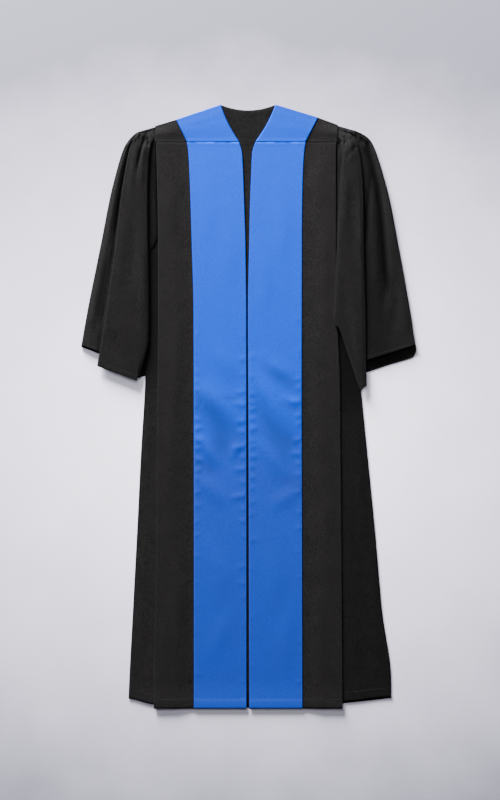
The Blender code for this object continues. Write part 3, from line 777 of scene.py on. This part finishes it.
blue_satin = satin_finish("blue_satin_cloth")
blue_thread = thread_finish("blue_thread", BLUE_THREAD)
for side in ("left", "right"):
    y = np.linspace(YOKE_SEAM_Y, HEM_Y, FACING_ROWS)
    inner = front_line(side, "inner", y)
    outer = front_line(side, "facing", y)
    spread = (1 - np.cos(math.pi * np.linspace(0, 1, FACING_COLUMNS))) / 2
    spread = mix(spread, np.linspace(0, 1, FACING_COLUMNS), 0.55)
    x = mix(inner[:, None], outer[:, None], spread[None, :])
    rows_y = np.broadcast_to(y[:, None], x.shape)
    from_edge = np.minimum(abs(x - inner[:, None]), abs(x - outer[:, None]))
    above_hem = rows_y - HEM_Y
    z = LOWER_Z + FACING_LIFT + hem_curl(rows_y)
    z = z + pucker_height(side, x, rows_y, inner, outer) * ease(-0.001, 0.006, from_edge)
    z = z + SEAM_ROLL * around(rows_y - YOKE_SEAM_Y + FROM_SEAM_TO_ROLL, SEAM_ROLL_WIDTH)
    turn_up = 1 - ease(FACING_HEM - 0.0012, FACING_HEM + 0.0008, above_hem)
    z = z + HEM_FOLD_RISE * turn_up * (0.7 + 0.3 * np.sin(math.pi * above_hem / FACING_HEM))
    points = np.stack((x, rows_y, z), axis=2)
    hem_line = 0.5 * around(above_hem - FACING_HEM, 0.0007)
    # fold: painted highlight along both edges and over the hem band.
    marks = {"fold": np.maximum(turn_up, 1.8 * near_edge(from_edge)),
             "shade": np.maximum(hem_line, yoke_seam_shade(x, rows_y)),
             # lean: painted shade beside the waves.
             "lean": np.minimum(creased(x, rows_y, SATIN_SHADE_LINES[side], from_start=0.6, hold=0.7), 1.0)}
    facing = cloth_piece("facing_satin_" + side, points, SATIN, blue_satin, marks)
    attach(facing, "root")
    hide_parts("facing_" + side)
    top = points + (0, 0, SATIN / 2)
    hem_row = int(np.argmin(abs(y - HEM_Y - FACING_HEM)))
    rows_of_stitches = [top[2:-2, 1], top[2:-2, -2], top[hem_row, 1:-1]]
    stitch_rows("facing_stitches_" + side, rows_of_stitches, SATIN_STITCH, blue_thread)

    across = np.linspace(0, 1, 41)
    points = yoke_surface(side, across, lift=FACING_LIFT)
    x, y, z = np.moveaxis(points, 2, 0)
    from_edge = abs(x[:, :1] - x[:, -1:]) * np.minimum(across, 1 - across)
    # fold: painted highlight along the edges.
    marks = {"fold": 0.6 * near_edge(from_edge),
             "shade": yoke_seam_shade(x, y),
             # lean: painted shade where the satin rolls over the shoulder.
             "lean": 0.5 * (1 - ease(0.0, SHOULDER_SHADE_LENGTH, y[:1] - y))}
    facing_yoke = cloth_piece("facing_yoke_satin_" + side, points, SATIN, blue_satin, marks)
    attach(facing_yoke, "root")
    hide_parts("facing_yoke_" + side)
    top = points + (0, 0, SATIN / 2)
    name = "facing_yoke_stitches_" + side
    stitch_rows(name, [top[1:-1, 1], top[1:-1, -2]], SATIN_STITCH, blue_thread)


# Sleeves: wide tubes of the black cloth, gathered with fine pleats into the armhole, open at the
# cuff. Each lies with its front lobe folded over its outer part, in long soft folds.

UNDERARM_Y = 0.3290
ARMHOLE_FOOT_Y = 0.3600
UNDERARM_STATION = 4
CUFF_STATION = 7
HEAD_STATION = 1
SLEEVE_ROWS = 226
UNDER_LAYER_POINTS = 8

# Heights of a sleeve's layers, from the lobe's crown down to the outer part at the outline.
LOBE_CROWN_Z = 0.0150
FOLD_TOP_Z = 0.0125
FOLD_UNDER_Z = 0.0100
TUCK_Z = 0.0078
OUTER_TOP_Z = 0.0086
OUTER_CROWN = 0.0030
TIP_SWELL = 0.0003
LOBE_SWELL = 0.0008
LOBE_RISE_WIDTH = 0.0045
NOOK_Z = {"left": 0.0040, "right": 0.0078}
UNDERARM_SEAM_Z = {"left": BACK_Z, "right": 0.0042}
BODY_CLEARANCE = 0.0030
RAISED_WIDTH = 0.0140
HEAD_LIFT = 0.72
SEAM_OVERLAP = 0.0004
HEAD_X = {"left": -0.2026, "right": 0.1896}
HEAD_ROWS = 70
HEAD_END = 1.25
LOWEST_TROUGH_Z = 0.0032
DEEPEST_TROUGH = 0.0062
FOLDS_FROM_HEAD_Y = 0.55
EDGE_ROLL = 0.0005
GATHER_SPACING = 0.0047
GATHER_LENGTH = 0.0200
GATHER_HEIGHT = 0.0019
GATHER_WIDTH = 0.0019
GATHER_BAND = 0.0120

# Painted shade: how dark a sleeve is painted inside the lobe's roll, inside the cuff, under the lobe, in
# the troughs and between the gathers.
ROLL_SHADE = 0.72
INSIDE_SHADE = 0.40
UNDER_LOBE_SHADE = 0.6
TROUGH_SHADE = 0.95
GATHER_SHADE = 0.9

# Roll of the lobe's inner edge: how far in from the edge each point lies, and its part of the height.
LOBE_ROLL = ((0.0060, 0.00), (0.0022, 0.06), (0.0003, 0.25), (0.0006, 0.50), (0.0025, 0.72), (0.0062, 0.88))

# Plan position of each long line of a sleeve at eight stations, from the gathered head past the
# underarm to the cuff.
SLEEVE_LINES = metres({
    "left": {
        "outer": ((-204, 602.5), (-240, 590.5), (-266, 563.5), (-294, 475), (-321, 342), (-348, 208),
                  (-355.5, 165), (-360.5, 130)),
        "tuck": ((-204, 597), (-219, 580), (-236, 556), (-252, 475), (-268, 342), (-288, 208), (-298, 155),
                 (-308, 112)),
        "fold": ((-204, 596.2), (-237.5, 587.3), (-254, 562.5), (-272, 474), (-288, 342), (-306.5, 208),
                 (-316.5, 145), (-327, 86)),
        "tip": ((-204, 586), (-218, 574), (-229, 550), (-235, 470), (-237, 340), (-238, 208), (-240, 130),
                (-242, 56)),
        "inner": ((-204, 580), (-210, 566), (-214, 540), (-217.5, 462), (-217, 340), (-215.5, 208),
                  (-216.5, 143), (-235, 62)),
        "seam": ((-204, 576), (-204, 556), (-203.5, 520), (-200.5, 440), (-218, 330), (-222, 208),
                 (-223.2, 145), (-225.6, 66.5)),
    },
    "right": {
        "outer": ((191, 605), (228, 593), (258, 575), (294, 475), (321, 342), (345, 208), (352.5, 165),
                  (360, 132)),
        "tuck": ((191, 599.5), (206, 583), (217, 560), (226, 472), (227, 342), (230, 208), (232, 150),
                 (234, 93)),
        "fold": ((191, 594.5), (216, 585), (231, 565), (244, 474), (246.5, 342), (249.5, 200), (250.5, 120),
                 (251, 43.5)),
        "tip": ((191, 589), (208, 577), (218, 555), (229, 472), (233, 342), (236, 200), (237, 120),
                (238, 34)),
        "inner": ((191, 584), (197, 570), (200, 540), (194.5, 470), (188.8, 360), (183.2, 240),
                  (180.5, 195), (184, 172)),
        "seam": ((191, 580), (191.2, 560), (190.8, 525), (189.2, 440), (205.5, 329), (218, 208), (224, 155),
                 (230, 115)),
    },
})
# Hem of each sleeve's under layer at the cuff: at the outline, then below the lobe's edge.
CUFF_BEHIND = metres({"left": ((-359, 127), (-323.5, 114)), "right": ((352.5, 106), (251, 74))})

# Folds of each sleeve's lobe and of its outer part: the places they run through from the head
# down, their half width, and their height, which is below zero for a trough.
LOBE_FOLDS = metres({
    "left": (
        (((-223, 585), (-229, 563), (-234.5, 544), (-239, 522), (-243, 490)), 3.6, -4),
        (((-220, 576), (-218, 567), (-215, 556)), 3.4, -4.4),
        (((-242, 578), (-245, 550), (-252, 500), (-257, 440)), 6.5, 1.6),
        (((-227, 556), (-231, 520), (-233, 460)), 6, 2),
        (((-250, 450), (-253, 330), (-260, 210)), 13, -2),
        (((-270, 420), (-279, 300), (-290, 180)), 9, 1.2),
        (((-230, 360), (-229, 240), (-233, 130)), 8, 1.4),
        (((-296, 170), (-290, 120), (-286, 85)), 12, -1.2),
    ),
    "right": (
        (((204, 579), (207, 570), (203, 559)), 3.2, -2.6),
        (((215, 580), (219, 556), (220, 520)), 5, 1.8),
        (((226, 556), (218, 544), (208, 533)), 5, -1.4),
        (((205, 510), (206, 440), (202, 360)), 7.5, 1.6),
        (((224, 500), (223, 400), (221, 290)), 10, -1.6),
        (((238, 440), (240, 320), (243, 200)), 6, 1.2),
        (((200, 290), (208, 210), (226, 120)), 10, -1.4),
        (((220, 220), (230, 140), (240, 60)), 8, 1.2),
    ),
})
OUTER_FOLDS = metres({
    "left": (
        (((-253, 575), (-258.5, 558), (-265.5, 525), (-274, 473.5), (-285, 400), (-296, 330)), 9.2, -4.2),
        (((-264, 560), (-280, 500), (-296, 410), (-312, 300)), 8.5, 2.6),
        (((-298, 350), (-313, 250), (-326, 150)), 10, -2.8),
        (((-324, 290), (-336, 210), (-345, 150)), 9, 1.8),
    ),
    "right": (
        (((260, 520), (260.5, 502), (258.5, 457), (254, 411), (253, 330)), 6.2, -3.4),
        (((234, 585), (245, 573), (254, 566), (258.5, 540), (266, 510), (275, 472), (283, 411),
          (289, 340), (295, 259), (286, 179)), 9, -6),
        (((266, 450), (269, 410), (272, 330), (272, 230)), 9, 1.6),
        (((260, 572), (276, 530), (292, 470), (307, 390), (318, 300)), 8, 2.8),
        (((305, 310), (312, 220), (316, 150)), 12, -2.2),
        (((324, 280), (335, 200), (344, 145)), 8, 1.6),
    ),
})
# Fine columns between each two neighbouring points of a sleeve's ring.
RING_SPANS = ((3,) * 6 + (9,) * 5 + (3,) * 4 + (4,) + (3,) * 3 + (4,) + (13,) * 3 + (3,) * 5 + (4,) * 6)
LOBE_SPAN = (6, 11)
OUTER_SPAN = (20, 23)
CUFF_STITCH_ROW = -5
LOBE_CUFF = slice(24, 60)
OUTER_CUFF = slice(92, 126)


def sleeve_floor(side, x, y):
    """Height of a sleeve's under layer: on the floor, or on the body where it lies over that."""
    if side == "left":
        return BACK_Z
    edge = float(side_edge(side, y))
    raised = (UNDERARM_SEAM_Z[side] - BACK_Z) * (1 - ease(UNDERARM_Y, ARMHOLE_FOOT_Y, y))
    return float(BACK_Z + raised * (1 - ease(edge + BODY_CLEARANCE, edge + RAISED_WIDTH, x)))


def ring_turn(at, toward, z_from, z_to, steps):
    """Points round a fold of a sleeve that bulges to the plan point at."""
    behind, height = turn(z_from, z_to, (z_from - z_to) / 2, steps)
    return list(np.column_stack((at - np.outer(behind, toward), height)))


def inner_rise(at, out, z_from, z_to, joined):
    """The lobe's inner edge: a plain rise along the armhole, an overhanging roll below it."""
    points = []
    for step, (inward, part) in enumerate(LOBE_ROLL):
        angle = math.pi / 2 * step / (len(LOBE_ROLL) - 1)
        plan = at + out * mix(LOBE_RISE_WIDTH * (1 - math.cos(angle)), inward, joined)
        part = mix(LOBE_ROLL[-1][1] * math.sin(angle), part, joined)
        points.append((plan[0], plan[1], mix(z_from, z_to, part)))
    return points


def folded_ring(side, at, station):
    """One ring of a sleeve, from the front seam over the lobe and the outline to the back seam."""
    straight = ease(1, 2, station)
    way = at["outer"] - at["inner"]
    out = mix(way / np.linalg.norm(way), np.array((math.copysign(1.0, way[0]), 0.0)), straight)
    out = out / np.linalg.norm(out)
    lift = HEAD_LIFT + (1 - HEAD_LIFT) * ease(HEAD_STATION, 2, station)
    joined = ease(UNDERARM_STATION - 0.7, UNDERARM_STATION + 0.3, station)
    nook = NOOK_Z["left"] + (NOOK_Z[side] - NOOK_Z["left"]) * joined
    ring = inner_rise(at["inner"], out, nook, LOBE_CROWN_Z, joined)
    start = np.array(ring[-1])
    tip = np.array((*at["tip"], LOBE_CROWN_Z))
    fold = ring_turn(at["fold"], out, FOLD_TOP_Z, FOLD_UNDER_Z, 4)
    ring += [mix(start, tip, 0.5) + (0, 0, TIP_SWELL), tip]
    ring += [mix(tip, fold[0], t) + (0, 0, LOBE_SWELL) for t in (0.35, 0.7)]
    ring += fold
    ring += ring_turn(at["tuck"], -out, FOLD_UNDER_Z, TUCK_Z, 3)
    outline = ring_turn(at["outer"], out, OUTER_TOP_Z, BACK_Z, 5)
    away = at["outer"] - at["tuck"]
    away = away / np.linalg.norm(away)
    below_edge = at["tuck"] + away * (np.dot(at["fold"] - at["tuck"], away) + CLOTH)
    below_edge = np.array((*below_edge, TUCK_Z))
    ring.append(below_edge)
    for t in (0.33, 0.67):
        swell = OUTER_CROWN * math.sin(math.pi * t)
        ring.append(mix(below_edge, outline[0], t) + (0, 0, swell))
    behind = ease(UNDERARM_STATION + 1, CUFF_STATION, station)
    foot = outline[-1][:2]
    shift = (np.array(CUFF_BEHIND[side][0]) - foot) * behind
    for step, point in enumerate(outline):
        ring.append(point + (*shift * step / (len(outline) - 1), 0))
    foot = foot + shift
    below_fold = mix(at["fold"], np.array(CUFF_BEHIND[side][1]), behind)
    for start, end, stops in ((foot, below_fold, (0.5, 1)), (below_fold, at["seam"], (0.3, 0.6, 0.85))):
        for t in stops:
            plan = mix(start, end, t)
            ring.append((plan[0], plan[1], sleeve_floor(side, plan[0], plan[1])))
    ring = np.array([tuple(point) for point in ring], float)
    ring[:, 2] = mix(BACK_Z, ring[:, 2], lift)
    return ring


def gathered_ring(side, count):
    """The ring where a sleeve is sewn in: up the front to the shoulder, then down the back."""
    shoulder_y = SLEEVE_LINES[side]["outer"][0][1]
    underside_y = SLEEVE_LINES[side]["seam"][0][1]
    front_count = count - UNDER_LAYER_POINTS
    front = np.arange(1, front_count + 1) / (front_count + 1)
    back = 1 - (np.arange(UNDER_LAYER_POINTS) + 0.5) / (UNDER_LAYER_POINTS + 0.5)
    y = mix(underside_y, shoulder_y, np.append(front, back))
    z = np.append(mix(UPPER_Z, LOWER_Z, front), mix(BACK_Z, LOWER_Z, back ** 4))
    return np.column_stack((np.full(count, HEAD_X[side]), y, z))


def sleeve_ring(side, station):
    """A ring with both its seam ends: gathered at the head, opening out, folded below."""
    stops = range(CUFF_STATION + 1)
    at = {}
    for name, places in SLEEVE_LINES[side].items():
        at[name] = np.array([float(curve(stops, line, station)) for line in np.transpose(places)])
    seam_x, seam_y = at["seam"]
    if station < HEAD_STATION:
        first = {name: np.array(places[HEAD_STATION]) for name, places in SLEEVE_LINES[side].items()}
        ring = folded_ring(side, first, HEAD_STATION)
        t = math.sin(math.pi / 2 * station / HEAD_STATION)
        ring = mix(gathered_ring(side, len(ring)), ring, t)
    else:
        ring = folded_ring(side, at, station)
    joined = float(ease(UNDERARM_STATION - 0.7, UNDERARM_STATION, station))
    body = float(side_edge(side, min(seam_y, YOKE_SEAM_Y)))
    beside = 1 - float(ease(UNDERARM_STATION, UNDERARM_STATION + 0.5, station))
    if side == "left":
        beside = 1.0
    seam_x = mix(seam_x, body - math.copysign(SEAM_OVERLAP, body), beside)
    front_z = mix(mix(UPPER_Z, LOWER_Z, float(ease(0, 1.2, station))), UNDERARM_SEAM_Z[side], joined)
    back_z = mix(BACK_Z, UNDERARM_SEAM_Z[side], joined)
    return np.vstack(((seam_x, seam_y, front_z), ring, (seam_x, seam_y, back_z)))


# Painted shade: how much darker each sleeve is painted over its lobe, beside the lobe's edge and over its
# outer part, the right sleeve more than the left.
SLEEVE_SHADES = {"left": (0.20, 0.12, 0.00), "right": (0.22, 0.55, 0.06)}


def gathers(side, x, y):
    """Height of the fine gathers that fall from the sleeve's top edge, each a little different."""
    outer = np.array(SLEEVE_LINES[side]["outer"][:3])
    run = np.concatenate(([0.0], np.cumsum(np.hypot(*np.diff(outer, axis=0).T))))
    way = math.copysign(1.0, outer[0, 0])
    total = np.zeros(np.shape(x))
    for number in range(int(run[-1] / GATHER_SPACING) - 1):
        at = (number + 0.9 + 0.35 * math.sin(number * 2.4)) * GATHER_SPACING
        start_x = np.interp(at, run, outer[:, 0])
        start_y = np.interp(at, run, outer[:, 1])
        length = GATHER_LENGTH + 0.0060 * math.sin(number * 1.7 + 0.6)
        lean = way * (0.10 + 0.28 * at / run[-1]) * length
        line = ((start_x, start_y - 0.0010), (start_x + 0.5 * lean, start_y - 0.5 * length),
                (start_x + lean, start_y - length))
        height = GATHER_HEIGHT + 0.0005 * math.sin(number * 3.1)
        total += crease(x, y, line, GATHER_WIDTH, height, 0.9, 0.45)
    return total


def plateau(start, full, last, end, columns):
    """1 between the ring's columns full and last, 0 outside start and end."""
    return ease(start, full, columns) * (1 - ease(last, end, columns))


def sleeve_surface(side):
    """Rows of fine points of a sleeve, with its folds and gathers raised."""
    head = np.linspace(0, HEAD_END, HEAD_ROWS + 1)[:-1]
    stations = np.concatenate((head, np.linspace(HEAD_END, CUFF_STATION, SLEEVE_ROWS - HEAD_ROWS)))
    knots = np.arange(len(RING_SPANS) + 1)
    columns = np.concatenate([np.linspace(k, k + 1, n, endpoint=False) for k, n in enumerate(RING_SPANS)])
    columns = np.append(columns, len(RING_SPANS))
    rows = []
    for station in stations:
        ring = sleeve_ring(side, float(station))
        rows.append(np.stack([curve(knots, ring[:, axis], columns) for axis in range(3)], axis=1))
    points = np.array(rows)
    x, y, z = np.moveaxis(points, 2, 0)
    lobe_from, lobe_to = LOBE_SPAN
    outer_from, outer_to = OUTER_SPAN
    down = stations[:, None]

    lobe = plateau(lobe_from - 0.8, lobe_from + 0.6, lobe_to - 0.5, lobe_to + 0.6, columns)
    outer = plateau(outer_from - 0.7, outer_from + 0.4, outer_to + 0.2, outer_to + 2.2, columns)
    opened = ease(0.0, 0.8, down)
    raised = lobe * creased(x, y, LOBE_FOLDS[side], 0.9, 0.55, FOLDS_FROM_HEAD_Y)
    raised = raised + outer * creased(x, y, OUTER_FOLDS[side], 0.9, 0.70, FOLDS_FROM_HEAD_Y)
    top = 1 - ease(outer_to + 1.2, outer_to + 3.0, columns)
    fine = gathers(side, x, y)
    edge_roll = EDGE_ROLL * around(columns - lobe_to + 0.15, 0.40)
    z = z + opened * (raised + top * fine + edge_roll)
    lowest = np.where((outer > 0.5) & (opened > 0.9), LOWEST_TROUGH_Z, 0.0)
    points = np.stack((x, y, np.maximum(z, lowest)), axis=2)

    # Painted shade in the roll, inside the cuff, under the lobe, in the troughs and between the gathers.
    in_roll = ROLL_SHADE * (1 - ease(3.0, 5.6, columns)) * (0.55 + 0.45 * ease(0.0, 2.5, columns))
    inside = INSIDE_SHADE * ease(outer_to + 4.5, outer_to + 6.5, columns)
    under_lobe = UNDER_LOBE_SHADE * plateau(lobe_to + 2.5, lobe_to + 4.5, outer_from - 1.0,
                                            outer_from + 0.6, columns)
    hidden = np.maximum(np.maximum(in_roll, inside), under_lobe) * ease(1.0, 2.2, down)
    # Painted shade over the lobe, beside its edge and over the outer part.
    over_lobe, near, over_outer = SLEEVE_SHADES[side]
    broad_shade = mix(over_lobe, over_outer, ease(lobe_to, lobe_to + 2.0, columns))
    broad_shade = broad_shade + near * plateau(outer_from - 1.5, outer_from - 0.5, outer_from, outer_to + 0.5, columns)
    troughs = TROUGH_SHADE * np.clip(-raised / DEEPEST_TROUGH, 0, 1) * ease(0.9, 1.5, down)
    band = crease(x, y, SLEEVE_LINES[side]["outer"][:3], GATHER_BAND, 1.0, 1.0, 0.9)
    between = GATHER_SHADE * band * (1 - np.minimum(fine / 0.0010, 1.0))
    shades = (hidden, broad_shade * ease(1.0, 2.0, down), troughs, between)
    return points, np.maximum.reduce(np.broadcast_arrays(*shades))


for side in ("left", "right"):
    points, shade = sleeve_surface(side)
    sleeve = cloth_piece("sleeve_cloth_" + side, points, CLOTH, black_cloth, {"shade": shade}, even=False)
    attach(sleeve, "root")
    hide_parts("sleeve_" + side)
    cuff = points[CUFF_STITCH_ROW] + (0, 0, CLOTH / 2 + 0.0001)
    name = "cuff_stitches_" + side
    stitch_rows(name, [cuff[LOBE_CUFF], cuff[OUTER_CUFF]], HEM_STITCH, black_thread)


# The surface that the gown lies on, the lights and the camera: a pale floor with a faint mottle, painted
# darker away from an oval round its middle as a painted pool of light, a large low light beyond the neck
# and to the left, a soft one overhead and a weak one from the hem's side, and the camera straight above the
# gown.

FLOOR_SIZE = 3.0
FLOOR_Z = -0.0003
FLOOR_PALE = (0.80, 0.785, 0.95)
FLOOR_PAINTED_FALLOFF = (0.16, 0.155, 0.205)

floor_shape = bmesh.new()
bmesh.ops.create_grid(floor_shape, x_segments=1, y_segments=1, size=FLOOR_SIZE)
floor_mesh = bpy.data.meshes.new("floor")
floor_shape.to_mesh(floor_mesh)
floor_shape.free()
floor_mesh.transform(Matrix.Translation((0, 0, FLOOR_Z)))
floor = bpy.data.objects.new("floor", floor_mesh)
bpy.context.scene.collection.objects.link(floor)
paper = Finish("pale_floor")
place = paper.place()
tone = paper.noise(place, 7.0, 5.0) * 0.8 + paper.noise(place, 420.0, 2.0) * 0.2
# Painted pool of light: the floor is painted darker away from an oval round the middle.
oval = {"Vector": place, "Location": (0.00, 0.10, 0.0), "Scale": (0.77, 1.05, 0.0)}
from_middle = paper.node("ShaderNodeMapping", {}, oval)
distance = paper.node("ShaderNodeVectorMath", {"operation": "LENGTH"}, {0: from_middle}, output=1)
painted_falloff = (distance * 1.30 - 0.22 + (tone - 0.5) * 0.30).limited()
paper.feed("Base Color", paper.blend(painted_falloff, FLOOR_PALE, FLOOR_PAINTED_FALLOFF))
paper.feed("Roughness", 0.9)
floor_mesh.materials.append(paper.material)

# Each light's name, its place, the point it faces, its width and its power.
LIGHTS = (
    ("key", (-1.7, 4.3, 1.60), (0.0, 0.0, 0.0), 2.2, 2350.0),
    ("overhead", (-0.2, 1.2, 3.1), (0.0, 0.1, 0.0), 2.0, 75.0),
    ("fill", (1.4, -1.6, 2.4), (0.0, 0.0, 0.0), 2.4, 10.0),
)
for name, place, aim, size, power in LIGHTS:
    lamp = bpy.data.lights.new(name, "AREA")
    lamp.shape = "DISK"
    lamp.size = size
    lamp.energy = power
    lamp.color = (1.0, 0.99, 0.98)
    light = bpy.data.objects.new(name, lamp)
    bpy.context.scene.collection.objects.link(light)
    light.location = place
    away = Vector(place) - Vector(aim)
    light.rotation_euler = away.to_track_quat("Z", "Y").to_euler()

world = bpy.data.worlds.new("studio")
bpy.context.scene.world = world
world.use_nodes = True
sky = world.node_tree.nodes["Background"]
sky.inputs["Color"].default_value = (0.93, 0.95, 1.0, 1.0)
sky.inputs["Strength"].default_value = 0.10

lens = bpy.data.cameras.new("camera")
lens.sensor_fit = "VERTICAL"
lens.sensor_height = 36.0
lens.lens = 85.0
camera = bpy.data.objects.new("camera", lens)
bpy.context.scene.collection.objects.link(camera)
camera.location = (0.0011, 0.0140, 4.07)
bpy.context.scene.camera = camera
